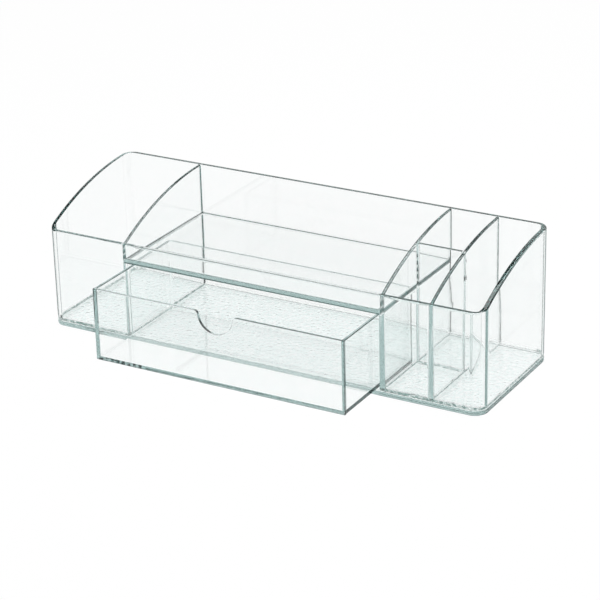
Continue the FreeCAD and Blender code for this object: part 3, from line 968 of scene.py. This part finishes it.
def make_drawer_wall():
    """The drawer's sides and back: one strip bent round two rear corners."""
    (x_low, y_low, z_low), (x_high, y_high, z_high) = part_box("drawer_wall")
    floor_top = span("drawer_floor", "Z")[1]
    y_low += SEAM
    right, left = x_high - DRAWER_CORNER_RADIUS, x_low + DRAWER_CORNER_RADIUS
    back = y_high - DRAWER_CORNER_RADIUS

    def bent(inset):
        radius = DRAWER_CORNER_RADIUS - inset
        return [(x_high - inset, y_low)] + \
            arc((right, back), radius, 0, QUARTER, DRAWER_STEP) + \
            arc((left, back), radius, QUARTER, math.pi, DRAWER_STEP) + [(x_low + inset, y_low)]

    cut = section((z_low, floor_top), z_high, DRAWER_WALL, DRAWER_ROUND, DRAWER_ROUND,
                  near_foot_round=DRAWER_CRISP)
    outer_path = bent(0)
    bm = wall_strip(outer_path, bent(DRAWER_WALL), [cut] * len(outer_path))
    floor_edge = ((x_low + DRAWER_WALL, y_low, z_low),
                  (x_high - DRAWER_WALL, y_high - DRAWER_WALL, floor_top))
    bond(bm, *drawer_contacts(), floor_edge)
    set_painted_shade_depth(bm, drawer_wall_painted_shade)
    new_piece("drawer_side_wall", bm, "drawer_wall", "drawer", polished)


def make_drawer_floor():
    """The drawer's floor, cemented to the walls all round its edge."""
    (x_low, y_low, z_low), (x_high, y_high, z_high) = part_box("drawer_floor")
    radius = DRAWER_CORNER_RADIUS - DRAWER_WALL - SEAM
    x_low, x_high, y_low, y_high = x_low + SEAM, x_high - SEAM, y_low + SEAM, y_high - SEAM
    outline = [(x_low, y_low), (x_high, y_low)] + \
        arc((x_high - radius, y_high - radius), radius, 0, QUARTER, DRAWER_STEP) + \
        arc((x_low + radius, y_high - radius), radius, QUARTER, math.pi, DRAWER_STEP)
    bm = bmesh.new()
    loft(bm, [[bm.verts.new((x, y, z)) for x, y in outline] for z in (z_low, z_high)])
    layer = bm.faces.layers.float.new("bonded")
    for face in bm.faces:
        face[layer] = 1.0 if len(face.verts) == 4 else 0.0
    new_piece("drawer_floor_panel", bm, "drawer_floor", "drawer", polished)


make_base()
make_shell_beads()
make_divider_beads()
make_shell()
for divider in DIVIDERS:
    make_divider(divider)
make_cross_divider()
make_shelf()
make_drawer_front()
make_drawer_wall()
make_drawer_floor()


# ---------------------------------------- stage, light and camera

FLOOR_REACH = 6.0
FLOOR_DROP = 0.05 * MM      # the paper lies this far under the object
PAPER = (0.92, 0.92, 0.92, 1)
PAPER_GLOW = 0.92           # share of the paper's white that doesn't depend on the lamp
PAPER_GLOW_DIRECT = 0.96    # and where the paper is seen direct
DIM_ROOM = (0.06, 0.07, 0.07, 1)

# parts of a direction, first where the backdrop or the wall has gone, then where it is whole
BACKDROP_SIDE = (0.05, 0.30)    # towards the back
BACKDROP_TOP = (0.80, 0.62)     # upwards
PALE_WALLS = (0.38, 0.28)       # upwards

LAMP_SIZE = 1.2
LAMP_POWER = 18
LAMP_PLACE = Vector((0.1, 0.1, 1.3))
LAMP_AIM = Vector((0, 0, 0.04))
CAMERA_TARGET = Vector((4.51, 0.0, 29.48)) * MM
CAMERA_AZIMUTH = math.radians(30.24)
CAMERA_ELEVATION = math.radians(23.25)
CAMERA_ROLL = math.radians(-1.46)
CAMERA_DISTANCE = 1479 * MM
CAMERA_CLIP = 0.05
SENSOR_WIDTH = 36.0
FOCAL_PIXELS, IMAGE_WIDTH = 2268.4, 600


def make_floor():
    """White paper that lights itself: wholly where it is seen direct, partly through plastic."""
    mesh = bpy.data.meshes.new("studio_floor")
    corners = [(-FLOOR_REACH, -FLOOR_REACH, 0), (FLOOR_REACH, -FLOOR_REACH, 0),
               (FLOOR_REACH, FLOOR_REACH, 0), (-FLOOR_REACH, FLOOR_REACH, 0)]
    mesh.from_pydata(corners, [], [(0, 1, 2, 3)])
    floor = bpy.data.objects.new("studio_floor", mesh)
    floor.location.z = -FLOOR_DROP
    bpy.context.scene.collection.objects.link(floor)
    material = bpy.data.materials.new("studio_paper")
    material.use_nodes = True
    nodes, links = material.node_tree.nodes, material.node_tree.links
    paper = nodes["Principled BSDF"]
    paper.inputs["Base Color"].default_value = PAPER
    paper.inputs["Roughness"].default_value = 1.0
    glow = nodes.new("ShaderNodeEmission")
    glow.inputs["Color"].default_value = WHITE
    share = nodes.new("ShaderNodeMapRange")
    share.inputs["To Min"].default_value = PAPER_GLOW
    share.inputs["To Max"].default_value = PAPER_GLOW_DIRECT
    rays = nodes.new("ShaderNodeLightPath")
    links.new(rays.outputs["Is Camera Ray"], share.inputs["Value"])
    shader_mix(nodes, links, share.outputs["Result"], paper.outputs["BSDF"],
               glow.outputs["Emission"], nodes["Material Output"])
    mesh.materials.append(material)


def make_world():
    """A white backdrop behind the object and pale walls low down all round, in a dim room."""
    world = bpy.data.worlds.new("studio")
    bpy.context.scene.world = world
    world.use_nodes = True
    nodes, links = world.node_tree.nodes, world.node_tree.links
    background = nodes["Background"]
    coords = nodes.new("ShaderNodeTexCoord")
    split = nodes.new("ShaderNodeSeparateXYZ")
    links.new(coords.outputs["Generated"], split.inputs["Vector"])
    behind = eased_range(nodes, links, split.outputs["Y"], BACKDROP_SIDE)
    below_top = eased_range(nodes, links, split.outputs["Z"], BACKDROP_TOP)
    backdrop = join(nodes, links, "MULTIPLY", behind, below_top)
    low = eased_range(nodes, links, split.outputs["Z"], PALE_WALLS)
    pale = join(nodes, links, "MAXIMUM", backdrop, low)
    direct = nodes.new("ShaderNodeLightPath").outputs["Is Camera Ray"]
    room = colour_mix(nodes, links, join(nodes, links, "MAXIMUM", pale, direct))
    room.inputs["A"].default_value = DIM_ROOM
    room.inputs["B"].default_value = WHITE
    links.new(room.outputs["Result"], background.inputs["Color"])
    background.inputs["Strength"].default_value = 1.0


def make_lamp():
    """One large soft lamp overhead."""
    data = bpy.data.lights.new("overhead_softbox", "AREA")
    data.shape = "RECTANGLE"
    data.size = data.size_y = LAMP_SIZE
    data.energy = LAMP_POWER
    lamp = bpy.data.objects.new("overhead_softbox", data)
    lamp.location = LAMP_PLACE
    lamp.rotation_euler = (LAMP_AIM - LAMP_PLACE).to_track_quat("-Z", "Y").to_euler()
    bpy.context.scene.collection.objects.link(lamp)


def make_camera():
    """The camera, to the right of the front and above, a little tilted."""
    data = bpy.data.cameras.new("camera")
    data.sensor_width = SENSOR_WIDTH
    data.lens = FOCAL_PIXELS / IMAGE_WIDTH * SENSOR_WIDTH
    data.clip_start = CAMERA_CLIP
    camera = bpy.data.objects.new("camera", data)
    bpy.context.scene.collection.objects.link(camera)
    turn, tilt, roll = CAMERA_AZIMUTH, CAMERA_ELEVATION, CAMERA_ROLL
    backward = Vector((math.sin(turn) * math.cos(tilt), -math.cos(turn) * math.cos(tilt),
                       math.sin(tilt)))
    level = Vector((math.cos(turn), math.sin(turn), 0))
    upward = backward.cross(level)
    right = level * math.cos(roll) + upward * math.sin(roll)
    up = upward * math.cos(roll) - level * math.sin(roll)
    place = CAMERA_TARGET + backward * CAMERA_DISTANCE
    facing = Matrix((right, up, backward)).transposed().to_4x4()
    camera.matrix_world = Matrix.Translation(place) @ facing
    bpy.context.scene.camera = camera


make_floor()
make_world()
make_lamp()
make_camera()

scene = bpy.context.scene
scene.view_settings.view_transform = "Standard"
scene.cycles.max_bounces = 64
scene.cycles.glossy_bounces = 48
scene.cycles.transmission_bounces = 64
scene.cycles.transparent_max_bounces = 32
